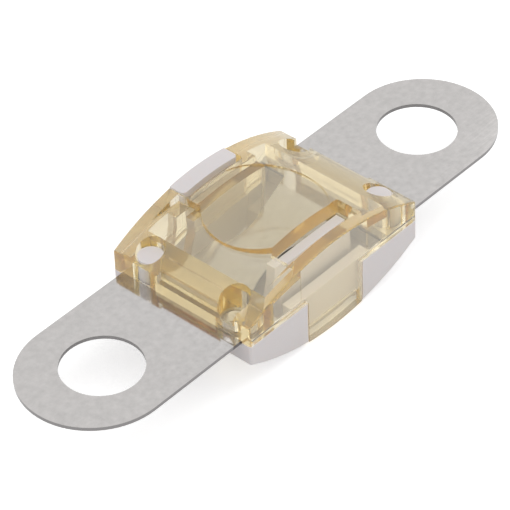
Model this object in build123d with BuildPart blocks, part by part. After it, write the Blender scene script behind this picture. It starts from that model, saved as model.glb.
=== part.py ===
from build123d import *

import os
from math import sqrt

# Fuse strip, in millimetres. X runs along the strip, and Z = 0 is its middle plane.
bolt_pitch = 30.0
bolt_hole_diameter = 5.4
blade_reach_past_hole = 5.6
strip_width = 10.0
strip_thickness = 0.26
link_end_clearance = 0.5
link_shoulder_half_width = 2.9
link_neck_half_width = 1.3
link_neck_round = 4.0
link_shoulder_round = 0.4

# Housing halves. The two halves are one shape, and the lower one is turned over about X.
body_half_length = 7.95
body_half_width = 5.8
crown_height = 3.47
end_height = 1.47
corner_round = 0.2
outer_edge_round = 0.15
side_wall = 0.9
end_wall = 2.55
chamber_height = 2.2
chamber_end_height = 1.65

# The round pad sunk in the arch, and the flat, level panel beside it.
pad_diameter = 8.15
pad_drop = 0.1
panel_inner_x = 2.7
panel_height = 2.66

# End step: the floor between the corner posts.
step_height = 0.94
step_back = 0.38
step_edge_at_hole = 1.95
step_edge_at_pin = 4.35

# Locating pins and the holes that they enter.
pin_inset_from_end = 1.15
pin_inset_from_strip_edge = 1.45
pin_diameter = 1.7
pin_height = 1.6
pin_core_diameter = 2.0
pin_core_floor_height = 0.4
hole_clearance = 0.1

# Snap tongue, its barb, and the notch that receives the other half's tongue.
tongue_half_width = 2.55
tongue_thickness = 0.85
barb_depth = 0.4
barb_height = 1.05
barb_corner_round = 0.35
snap_clearance = 0.08
barb_clearance = 0.4
catch_half_length = 3.7
slot_half_length = 3.15
slot_offset = 0.3
slot_width = 1.9
rib_half_length = 3.3
rib_thickness = 0.7

# Sizes that follow from those above.
strip_length = bolt_pitch + 2 * blade_reach_past_hole
inner_half_width = body_half_width - side_wall
chamber_half_length = body_half_length - end_wall
link_half_length = chamber_half_length - link_end_clearance
groove_depth = strip_thickness / 2
groove_half_width = strip_width / 2 + snap_clearance
pin_x = body_half_length - pin_inset_from_end
pin_y = strip_width / 2 - pin_inset_from_strip_edge
hole_diameter = pin_diameter + 2 * hole_clearance
hole_places = [(-pin_x, pin_y), (pin_x, -pin_y)]
pin_places = [(-pin_x, -pin_y), (pin_x, pin_y)]
tongue_inner_y = body_half_width - tongue_thickness
barb_inner_y = tongue_inner_y - barb_depth
barb_base_height = crown_height - barb_height
barb_floor_height = barb_base_height - snap_clearance
notch_half_width = tongue_half_width + snap_clearance
catch_inner_y = barb_inner_y - barb_clearance
slot_inner_y = tongue_inner_y - slot_width


def arc_height(x, half_span, end_rise, middle_rise):
    """Height at x of the arc through the ends and the middle of an arched profile."""
    rise = middle_rise - end_rise
    radius = (half_span**2 + rise**2) / (2 * rise)
    return middle_rise - radius + sqrt(radius**2 - x**2)


def arch_height(x):
    """Height of the arched outside above the parting plane, at a distance x from the middle."""
    return arc_height(x, body_half_length, end_height, crown_height)


def arched_profile(half_span, end_rise, middle_rise):
    """Side view of an arched block on the parting plane."""
    with BuildSketch() as profile:
        with BuildLine():
            Polyline((-half_span, end_rise), (-half_span, 0), (half_span, 0), (half_span, end_rise))
            ThreePointArc((half_span, end_rise), (0, middle_rise), (-half_span, end_rise))
        make_face()
    return profile.sketch


def tongue_profile(top_height):
    """Side view of the snap tongue, from top_height down to the other half's arched outside."""
    corner_height = -arch_height(tongue_half_width)
    with BuildSketch() as profile:
        with BuildLine():
            Polyline(
                (-tongue_half_width, corner_height),
                (-tongue_half_width, top_height),
                (tongue_half_width, top_height),
                (tongue_half_width, corner_height),
            )
            ThreePointArc(
                (tongue_half_width, corner_height),
                (0, -crown_height),
                (-tongue_half_width, corner_height),
            )
        make_face()
    return profile.sketch


# The fuse strip: blades, rounded ends, bolt holes and narrowed link, stamped from one sheet.
with BuildPart() as fuse_strip:
    with BuildSketch(Plane.XY.offset(-strip_thickness / 2)):
        SlotOverall(strip_length, strip_width)
        with GridLocations(bolt_pitch, 0, 2, 1):
            Circle(bolt_hole_diameter / 2, mode=Mode.SUBTRACT)
        with Locations(*hole_places, *pin_places):
            Circle(hole_diameter / 2, mode=Mode.SUBTRACT)
        with BuildSketch(mode=Mode.PRIVATE) as link_gap:
            with BuildLine():
                Polyline(
                    (-link_half_length, strip_width),
                    (-link_half_length, link_shoulder_half_width),
                    (0, link_neck_half_width),
                    (link_half_length, link_shoulder_half_width),
                    (link_half_length, strip_width),
                    close=True,
                )
            make_face()
            fillet(link_gap.vertices().group_by(Axis.Y)[0], link_neck_round)
            fillet(link_gap.vertices().group_by(Axis.Y)[1], link_shoulder_round)
        add(link_gap.sketch, mode=Mode.SUBTRACT)
        add(mirror(link_gap.sketch, about=Plane.XZ, mode=Mode.PRIVATE), mode=Mode.SUBTRACT)
    extrude(amount=strip_thickness)
fuse_strip.part.label = "fuse_strip"


# The round pad, as a cylinder under an arch that lies just below the arched outside.
with BuildPart() as round_pad:
    with BuildSketch(Plane.XY.offset(barb_floor_height)):
        Circle(pad_diameter / 2)
    extrude(amount=crown_height)
    with BuildSketch(Plane.XZ):
        add(arched_profile(body_half_length, end_height - pad_drop, crown_height - pad_drop))
    extrude(amount=body_half_width, both=True, mode=Mode.INTERSECT)


# The upper cover: the moulded half, first as a solid arch.
with BuildPart() as upper_cover:
    with BuildSketch(Plane.XZ):
        add(arched_profile(body_half_length, end_height, crown_height))
    extrude(amount=body_half_width, both=True)
    fillet(upper_cover.edges().filter_by(Axis.Z), corner_round)
    arched_top = upper_cover.faces().sort_by(Axis.Z)[-1]
    fillet(arched_top.edges(), outer_edge_round)

    # The level panel sunk in one end of the arch, between the side walls, and the pad beside it.
    with BuildSketch(Plane.XY.offset(panel_height)):
        with Locations((-panel_inner_x, 0)):
            Rectangle(body_half_length, 2 * inner_half_width, align=(Align.MAX, Align.CENTER))
    extrude(amount=crown_height, mode=Mode.SUBTRACT)
    with BuildSketch(Plane.XY.offset(barb_floor_height)):
        Circle(pad_diameter / 2)
    extrude(amount=crown_height, mode=Mode.SUBTRACT)
    add(round_pad.part)

    # The chamber over the link, with an arched ceiling.
    with BuildSketch(Plane.XZ):
        add(arched_profile(chamber_half_length, chamber_end_height, chamber_height))
    extrude(amount=inner_half_width, both=True, mode=Mode.SUBTRACT)

    # The core slot beside the tongue's root, through the deck.
    with BuildSketch(Plane.XY):
        with Locations((slot_offset, -tongue_inner_y)):
            Rectangle(2 * slot_half_length, slot_width, align=(Align.CENTER, Align.MIN))
    extrude(amount=crown_height, mode=Mode.SUBTRACT)

    # The step between the corner posts at each end.
    for end in (-1, 1):
        hole_side = -end
        step_span = step_edge_at_hole + step_edge_at_pin
        step_middle = hole_side * (step_edge_at_hole - step_edge_at_pin) / 2
        with BuildSketch(Plane.XY.offset(step_height)):
            with Locations((end * body_half_length, step_middle)):
                Rectangle(2 * step_back, step_span)
        extrude(amount=crown_height, mode=Mode.SUBTRACT)

    # The through holes for the other half's pins.
    with BuildSketch(Plane.XY):
        with Locations(*hole_places):
            Circle(hole_diameter / 2)
    extrude(amount=crown_height, mode=Mode.SUBTRACT)

    # The cored recess above each pin, and the pins below the parting plane.
    with BuildSketch(Plane.XY.offset(pin_core_floor_height)):
        with Locations(*pin_places):
            Circle(pin_core_diameter / 2)
    extrude(amount=crown_height, mode=Mode.SUBTRACT)
    with BuildSketch(Plane.XY.offset(groove_depth)):
        with Locations(*pin_places):
            Circle(pin_diameter / 2)
    extrude(amount=-(groove_depth + pin_height))

    # The groove that the strip lies in, out through both ends.
    with BuildSketch(Plane.XY):
        Rectangle(strip_length, 2 * groove_half_width)
        with Locations(*pin_places):
            Circle(pin_diameter / 2, mode=Mode.SUBTRACT)
    extrude(amount=groove_depth, mode=Mode.SUBTRACT)

    # The catch wall behind the notch, and the inner rib that reaches into the other half.
    rib_reach = arc_height(rib_half_length, chamber_half_length, chamber_end_height, chamber_height)
    with BuildSketch(Plane.XY):
        with Locations((0, catch_inner_y)):
            Rectangle(2 * catch_half_length, tongue_inner_y - catch_inner_y, align=(Align.CENTER, Align.MIN))
    extrude(amount=barb_floor_height)
    with BuildSketch(Plane.XY.offset(barb_floor_height)):
        with Locations((0, slot_inner_y)):
            Rectangle(2 * rib_half_length, rib_thickness, align=(Align.CENTER, Align.MIN))
    extrude(amount=-(barb_floor_height + rib_reach - snap_clearance))

    # The notch for the other tongue, and the wider pocket above the catch for its barb.
    notch_inner_y = tongue_inner_y - snap_clearance
    with BuildSketch(Plane.XY):
        with Locations((0, notch_inner_y)):
            Rectangle(2 * notch_half_width, body_half_width, align=(Align.CENTER, Align.MIN))
    extrude(amount=crown_height, mode=Mode.SUBTRACT)
    with BuildSketch(Plane.XY.offset(barb_floor_height)) as barb_pocket:
        with Locations((0, catch_inner_y)):
            Rectangle(2 * notch_half_width, body_half_width, align=(Align.CENTER, Align.MIN))
        fillet(barb_pocket.vertices().group_by(Axis.Y)[0], barb_corner_round)
    extrude(amount=crown_height, mode=Mode.SUBTRACT)

    # The tongue, flush with the side and with the other half's arched outside.
    with BuildSketch(Plane.XZ.offset(tongue_inner_y)):
        add(tongue_profile(chamber_height))
    extrude(amount=tongue_thickness)

    # The barb on the tongue's inner face, its two inner corners round.
    with BuildSketch(Plane.XZ.offset(barb_inner_y)):
        add(tongue_profile(-barb_base_height))
    extrude(amount=barb_depth)
    barb_edges = upper_cover.edges(Select.LAST).filter_by(Axis.Z).group_by(Axis.Y)[-1]
    fillet(barb_edges, barb_corner_round)

upper_cover.part.label = "upper_cover"

# The lower base: the same moulding in opaque plastic, turned over about the long axis.
lower_base = upper_cover.part.rotate(Axis.X, 180)
lower_base.label = "lower_base"

os.makedirs("parts", exist_ok=True)
export_step(fuse_strip.part, "parts/fuse_strip.step")
export_step(upper_cover.part, "parts/upper_cover.step")
export_step(lower_base, "parts/lower_base.step")
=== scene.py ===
import math

import bpy
from mathutils import Matrix, Vector


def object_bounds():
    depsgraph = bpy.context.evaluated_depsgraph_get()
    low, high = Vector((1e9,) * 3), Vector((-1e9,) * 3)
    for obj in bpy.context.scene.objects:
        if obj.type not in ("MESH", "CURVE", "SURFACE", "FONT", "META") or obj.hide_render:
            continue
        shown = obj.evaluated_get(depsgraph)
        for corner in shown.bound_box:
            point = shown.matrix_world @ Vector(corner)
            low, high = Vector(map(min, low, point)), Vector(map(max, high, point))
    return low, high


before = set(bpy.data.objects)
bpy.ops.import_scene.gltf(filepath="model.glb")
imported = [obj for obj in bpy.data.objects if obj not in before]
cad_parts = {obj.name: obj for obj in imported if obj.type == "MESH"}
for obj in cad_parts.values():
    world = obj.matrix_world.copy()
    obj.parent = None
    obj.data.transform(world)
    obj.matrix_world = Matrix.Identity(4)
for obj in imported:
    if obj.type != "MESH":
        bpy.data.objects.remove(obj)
cad_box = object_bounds()
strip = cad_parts["fuse_strip"]
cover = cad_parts["upper_cover"]
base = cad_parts["lower_base"]


# The fuse strip: one stamping of thin tin-plated copper alloy, with a blade at each end and the
# narrow link between them. The plating is satin and faintly mottled, with hairline handling marks,
# and the sheared edges are darker than the rolled faces.
face_height = 0.000125  # just inside the strip's two faces, measured from its middle plane
weld_distance = 0.000001
hard_edge_angle = math.radians(35)
sheared_edge_colour = (0.28, 0.27, 0.27, 1)
dark_tin_colour = (0.51, 0.495, 0.485, 1)
light_tin_colour = (0.60, 0.58, 0.57, 1)


def plain_material(name):
    """A new material, with its nodes, its links and its Principled shader."""
    material = bpy.data.materials.new(name)
    material.use_nodes = True
    nodes, links = material.node_tree.nodes, material.node_tree.links
    return material, nodes, links, nodes["Principled BSDF"]


def set_inputs(node, values):
    """Sets the node's named inputs, and gives the node back."""
    for name, value in values.items():
        node.inputs[name].default_value = value
    return node


def feed(links, socket, value):
    """Gives the input a fixed value, or links it to the output that stands for the value."""
    if isinstance(value, bpy.types.NodeSocket):
        links.new(value, socket)
    else:
        socket.default_value = value


def calculate(nodes, links, operation, *values):
    """The output of a Math node."""
    node = nodes.new("ShaderNodeMath")
    node.operation = operation
    for socket, value in zip(node.inputs, values):
        feed(links, socket, value)
    return node.outputs["Value"]


def noise(nodes, links, vector, values):
    """The output of a noise texture that reads the vector."""
    texture = set_inputs(nodes.new("ShaderNodeTexNoise"), values)
    links.new(vector, texture.inputs["Vector"])
    return texture.outputs["Fac"]


def spread(nodes, links, value, limits):
    """The output of a Map Range node with the named limits."""
    mapped = set_inputs(nodes.new("ShaderNodeMapRange"), limits)
    links.new(value, mapped.inputs["Value"])
    return mapped.outputs["Result"]


def roughen(nodes, links, shader, height, strength, distance):
    """Bumps the shader's surface."""
    grain = set_inputs(nodes.new("ShaderNodeBump"), {"Strength": strength, "Distance": distance})
    links.new(height, grain.inputs["Height"])
    links.new(grain.outputs["Normal"], shader.inputs["Normal"])


def dress(node, material):
    """Gives the piece its one material."""
    node.data.materials.clear()
    node.data.materials.append(material)


def join_facets(node):
    """Shades the piece smooth across the facets of its curved faces."""
    bpy.ops.object.select_all(action="DESELECT")
    bpy.context.view_layer.objects.active = node
    node.select_set(True)
    bpy.ops.object.shade_smooth()
    weld = node.modifiers.new("joined_facets", "WELD")
    weld.merge_threshold = weld_distance


def keep_edges_hard(node):
    """Splits the shading at the piece's real edges. It comes after every other modifier."""
    split = node.modifiers.new("hard_edges", "EDGE_SPLIT")
    split.split_angle = hard_edge_angle
    split.use_edge_sharp = False


plating, nodes, links, shader = plain_material("tin_plating")
set_inputs(shader, {"Metallic": 0.92})
place = nodes.new("ShaderNodeTexCoord").outputs["Object"]
mottle = noise(nodes, links, place, {"Scale": 2200.0, "Detail": 6.0, "Roughness": 0.62})
stretched = set_inputs(nodes.new("ShaderNodeMapping"), {
    "Rotation": (0, 0, math.radians(38)),
    "Scale": (260, 5200, 1000),
})
links.new(place, stretched.inputs["Vector"])
hairlines = noise(nodes, links, stretched.outputs["Vector"], {"Scale": 1.0, "Detail": 3.0})

tin = nodes.new("ShaderNodeValToRGB")
for stop, position, colour in zip(tin.color_ramp.elements, (0.3, 0.7), (dark_tin_colour, light_tin_colour)):
    stop.position = position
    stop.color = colour
links.new(mottle, tin.inputs["Fac"])

height = nodes.new("ShaderNodeSeparateXYZ")
links.new(place, height.inputs["Vector"])
off_middle = calculate(nodes, links, "ABSOLUTE", height.outputs["Z"])
on_face = calculate(nodes, links, "GREATER_THAN", off_middle, face_height)
metal = nodes.new("ShaderNodeMix")
metal.data_type = "RGBA"
factor, edge_colour, face_colour = metal.inputs[0], metal.inputs[6], metal.inputs[7]
feed(links, factor, on_face)
feed(links, edge_colour, sheared_edge_colour)
feed(links, face_colour, tin.outputs["Color"])
mixed_colour = metal.outputs[2]
links.new(mixed_colour, shader.inputs["Base Color"])

dullness = spread(nodes, links, hairlines, {
    "From Min": 0.3, "From Max": 0.7, "To Min": 0.07, "To Max": 0.13,
})
links.new(dullness, shader.inputs["Roughness"])
roughen(nodes, links, shader, hairlines, strength=0.25, distance=0.00001)

dress(strip, plating)
join_facets(strip)
keep_edges_hard(strip)


# The upper cover: one moulding in clear, naturally amber plastic with a glossy tool finish. Its
# colour comes from its thickness: the deck is pale, and walls that carry light along their length
# are golden, deepened by a painted glow. It sits a hair's breadth clear of the strip and the base.
seat_gap = 0.00002
# The colour of the painted glow, which stands in for light carried along inside the walls.
painted_glow_colour = (0.70, 0.56, 0.12, 1)
reflections_before_glow = 2.5


def blend(nodes, links, factor, first, second):
    """The output of a Mix Shader node."""
    mix = nodes.new("ShaderNodeMixShader")
    for socket, value in zip(mix.inputs, (factor, first, second)):
        feed(links, socket, value)
    return mix.outputs["Shader"]


amber, nodes, links, shader = plain_material("clear_amber_plastic")
set_inputs(shader, {"Base Color": (1.0, 1.0, 1.0, 1), "Transmission Weight": 0.91, "IOR": 1.6})
place = nodes.new("ShaderNodeTexCoord").outputs["Object"]
flow_marks = noise(nodes, links, place, {"Scale": 420.0, "Detail": 4.0})
polish = spread(nodes, links, flow_marks, {
    "From Min": 0.35, "From Max": 0.65, "To Min": 0.02, "To Max": 0.07,
})
links.new(polish, shader.inputs["Roughness"])
surface = nodes["Material Output"]
tint = set_inputs(nodes.new("ShaderNodeVolumeAbsorption"), {
    "Color": (0.935, 0.775, 0.265, 1),
    "Density": 320.0,
})
links.new(tint.outputs["Volume"], surface.inputs["Volume"])

# Light that is reflected over and over inside a wall leaves it as a golden glow. This glow is painted:
# after two and a half reflections inside the plastic, the surface turns into a diffuse and translucent
# golden colour that the lamps light.
path = nodes.new("ShaderNodeLightPath")
glow_front = set_inputs(nodes.new("ShaderNodeBsdfDiffuse"), {"Color": painted_glow_colour})
glow_back = set_inputs(nodes.new("ShaderNodeBsdfTranslucent"), {"Color": painted_glow_colour})
glow = blend(nodes, links, 0.5, glow_front.outputs["BSDF"], glow_back.outputs["BSDF"])
trapped = calculate(nodes, links, "GREATER_THAN", path.outputs["Glossy Depth"], reflections_before_glow)
plastic = blend(nodes, links, trapped, shader.outputs["BSDF"], glow)

# The lamps and the room light the inside straight through the plastic.
clear = nodes.new("ShaderNodeBsdfTransparent").outputs["BSDF"]
lets_room_in = blend(nodes, links, path.outputs["Is Diffuse Ray"], plastic, clear)
lets_lamps_in = blend(nodes, links, path.outputs["Is Shadow Ray"], lets_room_in, clear)
links.new(lets_lamps_in, surface.inputs["Surface"])

dress(cover, amber)
join_facets(cover)
draw_in = cover.modifiers.new("seat_gap", "DISPLACE")
draw_in.mid_level = 0.0
draw_in.strength = -seat_gap
keep_edges_hard(cover)


# The lower base: the same moulding in opaque white plastic, turned over. Its surface is satin
# with the fine grain of the mould, and thin edges let a little light through.
white, nodes, links, shader = plain_material("white_plastic")
set_inputs(shader, {
    "Base Color": (0.74, 0.70, 0.70, 1),
    "Subsurface Weight": 0.3,
    "Subsurface Radius": (1.0, 0.8, 0.7),
    "Subsurface Scale": 0.0004,
})
place = nodes.new("ShaderNodeTexCoord").outputs["Object"]
pores = noise(nodes, links, place, {"Scale": 2500.0, "Detail": 3.0})
satin = spread(nodes, links, pores, {"To Min": 0.38, "To Max": 0.52})
links.new(satin, shader.inputs["Roughness"])
roughen(nodes, links, shader, pores, strength=0.15, distance=0.000008)

dress(base, white)
join_facets(base)
keep_edges_hard(base)


# The table: a wide white board that the fuse lies on, just under the crown of the base. It is
# lifted to plain white where the camera looks at it, and half as much where a gloss or the clear
# cover does.
floor_size = 3.0
floor_gap = 0.00002
reflected_lift = 0.25
camera_extra_lift = 0.25

bpy.ops.object.select_all(action="DESELECT")
bpy.ops.mesh.primitive_plane_add(size=floor_size, location=(0, 0, cad_box[0].z - floor_gap))
floor = bpy.context.object
floor.name = "table_top"
bpy.ops.object.transform_apply(location=True)
board, nodes, links, shader = plain_material("white_board")
set_inputs(shader, {
    "Base Color": (0.88, 0.88, 0.88, 1),
    "Roughness": 0.9,
    "Specular IOR Level": 0.0,
    "Emission Color": (1, 1, 1, 1),
})


def looked_at(nodes, links):
    """1 for a ray from the camera, off a gloss or through a clear piece, and 0 for any other."""
    rays = nodes.new("ShaderNodeLightPath").outputs
    first = calculate(nodes, links, "MAXIMUM", rays["Is Camera Ray"], rays["Is Glossy Ray"])
    return calculate(nodes, links, "MAXIMUM", first, rays["Is Transmission Ray"])


lift = calculate(nodes, links, "MULTIPLY", looked_at(nodes, links), reflected_lift)
rays = nodes.new("ShaderNodeLightPath").outputs
lift = calculate(nodes, links, "MULTIPLY_ADD", rays["Is Camera Ray"], camera_extra_lift, lift)
links.new(lift, shader.inputs["Emission Strength"])
floor.data.materials.append(board)


# The studio: an even white surround and three soft boxes. The key is above the far blade, a small
# one is beyond it, and the fill is above the near blade, so that the metal shines evenly and the
# clear cover has bright, soft edges.
world = bpy.data.worlds.new("studio")
bpy.context.scene.world = world
world.use_nodes = True
nodes, links = world.node_tree.nodes, world.node_tree.links
surround = set_inputs(nodes["Background"], {"Color": (1, 1, 1, 1)})
level = spread(nodes, links, looked_at(nodes, links), {"To Min": 0.75, "To Max": 1.0})
links.new(level, surround.inputs["Strength"])


def soft_box(name, azimuth, elevation, distance, size, power):
    """A square lamp that faces the origin. The azimuth is 0 at -Y and 90 degrees at +X."""
    bpy.ops.object.select_all(action="DESELECT")
    turn, rise = math.radians(azimuth), math.radians(elevation)
    way = Vector((math.sin(turn) * math.cos(rise), -math.cos(turn) * math.cos(rise), math.sin(rise)))
    bpy.ops.object.light_add(type="AREA", location=way * distance)
    lamp = bpy.context.object
    lamp.name = name
    lamp.rotation_euler = way.to_track_quat("Z", "Y").to_euler()
    lamp.data.shape = "SQUARE"
    lamp.data.size = size
    lamp.data.energy = power


soft_box("key_box", azimuth=60, elevation=62, distance=0.6, size=0.45, power=0.45)
soft_box("far_box", azimuth=105, elevation=48, distance=0.2, size=0.1, power=0.012)
soft_box("fill_box", azimuth=-110, elevation=60, distance=0.6, size=0.35, power=0.2)


# The camera: a long lens looking down at the fuse from beyond one bolt hole, turned slightly.
camera_place = Vector((-0.1084205, -0.1011728, 0.1265515))
camera_aim = Vector((-0.0012646, -0.0001814, 0))
camera_roll = math.radians(-2.262)

bpy.ops.object.select_all(action="DESELECT")
bpy.ops.object.camera_add(location=camera_place)
camera = bpy.context.object
camera.name = "studio_camera"
sight = (camera_aim - camera_place).to_track_quat("-Z", "Y").to_matrix()
camera.rotation_euler = (sight @ Matrix.Rotation(camera_roll, 3, "Z")).to_euler()
camera.data.lens = 216.9
camera.data.sensor_width = 36.0
camera.data.clip_start = 0.01
bpy.context.scene.camera = camera

bpy.context.scene.view_settings.view_transform = "Standard"
